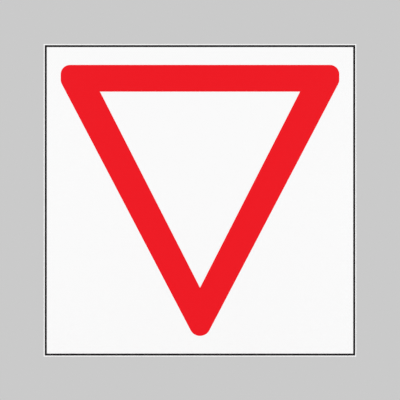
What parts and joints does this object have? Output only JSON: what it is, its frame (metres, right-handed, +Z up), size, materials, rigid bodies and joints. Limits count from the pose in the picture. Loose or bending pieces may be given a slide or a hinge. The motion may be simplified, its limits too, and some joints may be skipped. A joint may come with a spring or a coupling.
{
  "type": "give way road sign",
  "caption": "Square sheet sign panel with a red point-down triangle band and a thin black border line on white, held by slotted channel rails bonded across its back.",
  "frame": {"origin": "middle of the upper rail's slot, half way along it, in the plane of its lips' outer faces, where a post or clamp bears", "axes": "+X right and +Z up as the reader sees the sign's face, +Y away from the reader; the face looks along -Y and the rails run along X"},
  "size_m": [0.6, 0.015, 0.6],
  "materials": {
    "sheet_aluminium": "mill finish, rolling grain along Z",
    "white_sheeting": "white retroreflective sheeting, smooth clear top",
    "red_film": "transparent red overlay film on white sheeting",
    "black_film": "opaque black overlay film, semi-gloss",
    "extruded_aluminium": "as extruded, fine die lines along X",
    "foam_tape": "dark grey closed-cell acrylic foam, matte"
  },
  "bodies": {
    "root": {"sign_plate": "sheet_aluminium", "white_sheeting": "white_sheeting", "red_triangle": "red_film", "border_line": "black_film", "upper_rail": "extruded_aluminium", "upper_rail_tape": "foam_tape", "lower_rail": "extruded_aluminium", "lower_rail_tape": "foam_tape"}
  },
  "joints": []
}
